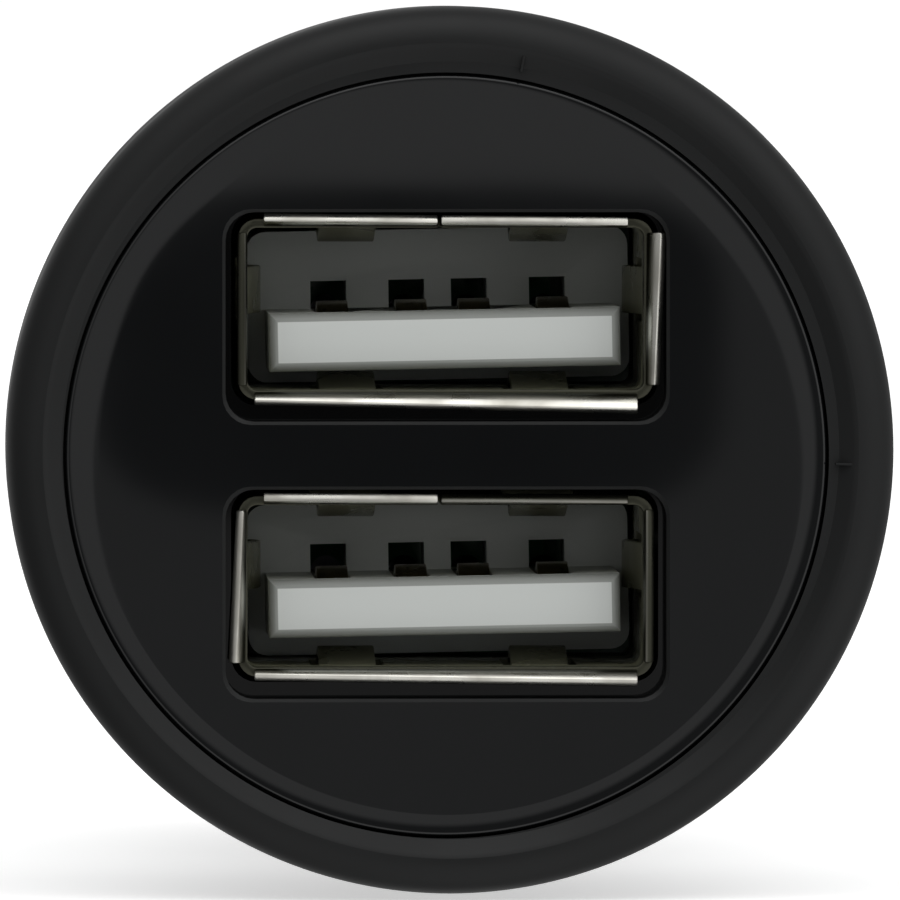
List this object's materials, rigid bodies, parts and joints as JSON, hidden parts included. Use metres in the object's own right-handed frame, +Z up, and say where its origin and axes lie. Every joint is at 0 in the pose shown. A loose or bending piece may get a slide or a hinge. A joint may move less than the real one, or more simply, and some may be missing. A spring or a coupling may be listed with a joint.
{
  "type": "car usb charger plug",
  "caption": "Round black car socket charger plug with stacked USB-A ports in a recessed glossy face, a sprung centre contact and bowed side ground springs.",
  "frame": {"origin": "on the plug's axis, in the plane of the head's shoulder, which stops against the mouth of the car's socket", "axes": "+Y along the plug's axis into the socket, towards the contact pin; -Y out of the face towards the user; +Z up, from the lower port to the upper one"},
  "size_m": [0.028, 0.0618, 0.028],
  "materials": {
    "head_plastic": "satin black moulding",
    "face_plastic": "glossy black moulding",
    "nickel_sheet": "nickel-plated sheet",
    "port_plastic": "off-white moulding",
    "gilt_contact": "thin gold plating",
    "board_laminate": "green solder resist",
    "ferrite": "dark sintered ferrite",
    "copper_wire": "enamelled copper wire",
    "capacitor_can": "sleeved can",
    "chip_moulding": "black epoxy",
    "ceramic": "tan ceramic",
    "brass_strip": "bare brass",
    "spring_steel": "bright spring steel",
    "cap_plastic": "satin black moulding",
    "plated_pin": "nickel-plated brass"
  },
  "bodies": {
    "charger": {"housing": "head_plastic", "face_plate": "face_plastic", "upper_port_shell": "nickel_sheet", "lower_port_shell": "nickel_sheet", "upper_port_insulator": "port_plastic", "lower_port_insulator": "port_plastic", "upper_contact_1": "gilt_contact", "upper_contact_2": "gilt_contact", "upper_contact_3": "gilt_contact", "upper_contact_4": "gilt_contact", "lower_contact_1": "gilt_contact", "lower_contact_2": "gilt_contact", "lower_contact_3": "gilt_contact", "lower_contact_4": "gilt_contact", "port_board": "board_laminate", "main_board": "board_laminate", "inductor_core": "ferrite", "inductor_winding": "copper_wire", "input_capacitor": "capacitor_can", "output_capacitor": "capacitor_can", "converter_chip": "chip_moulding", "port_chip": "chip_moulding", "rectifier_diode": "chip_moulding", "input_fuse": "port_plastic", "chip_resistors": "chip_moulding", "ceramic_capacitors": "ceramic", "left_ground_strap": "brass_strip", "right_ground_strap": "brass_strip", "nose_cap": "cap_plastic", "pin_spring": "spring_steel", "spring_seat": "brass_strip"},
    "contact_pin": {"centre_pin": "plated_pin"},
    "right_spring": {"right_ground_spring": "spring_steel"},
    "left_spring": {"left_ground_spring": "spring_steel"}
  },
  "joints": [
    {"name": "pin_press", "type": "slide", "parent": "charger", "child": "contact_pin", "axis": [0, -1, 0], "range_m": [0, 0.0032], "stiffness_N_per_m": 1400, "springref_m": -0.004, "deforming": ["pin_spring"]},
    {"name": "right_spring_rock", "type": "hinge", "parent": "charger", "child": "right_spring", "pos_m": [0.00782, 0.0043, 0], "axis": [0, 0, 1], "range_deg": [0, 7.5], "stiffness_Nm_per_rad": 0.5},
    {"name": "left_spring_rock", "type": "hinge", "parent": "charger", "child": "left_spring", "pos_m": [-0.00782, 0.0043, 0], "axis": [0, 0, -1], "range_deg": [0, 7.5], "stiffness_Nm_per_rad": 0.5}
  ]
}
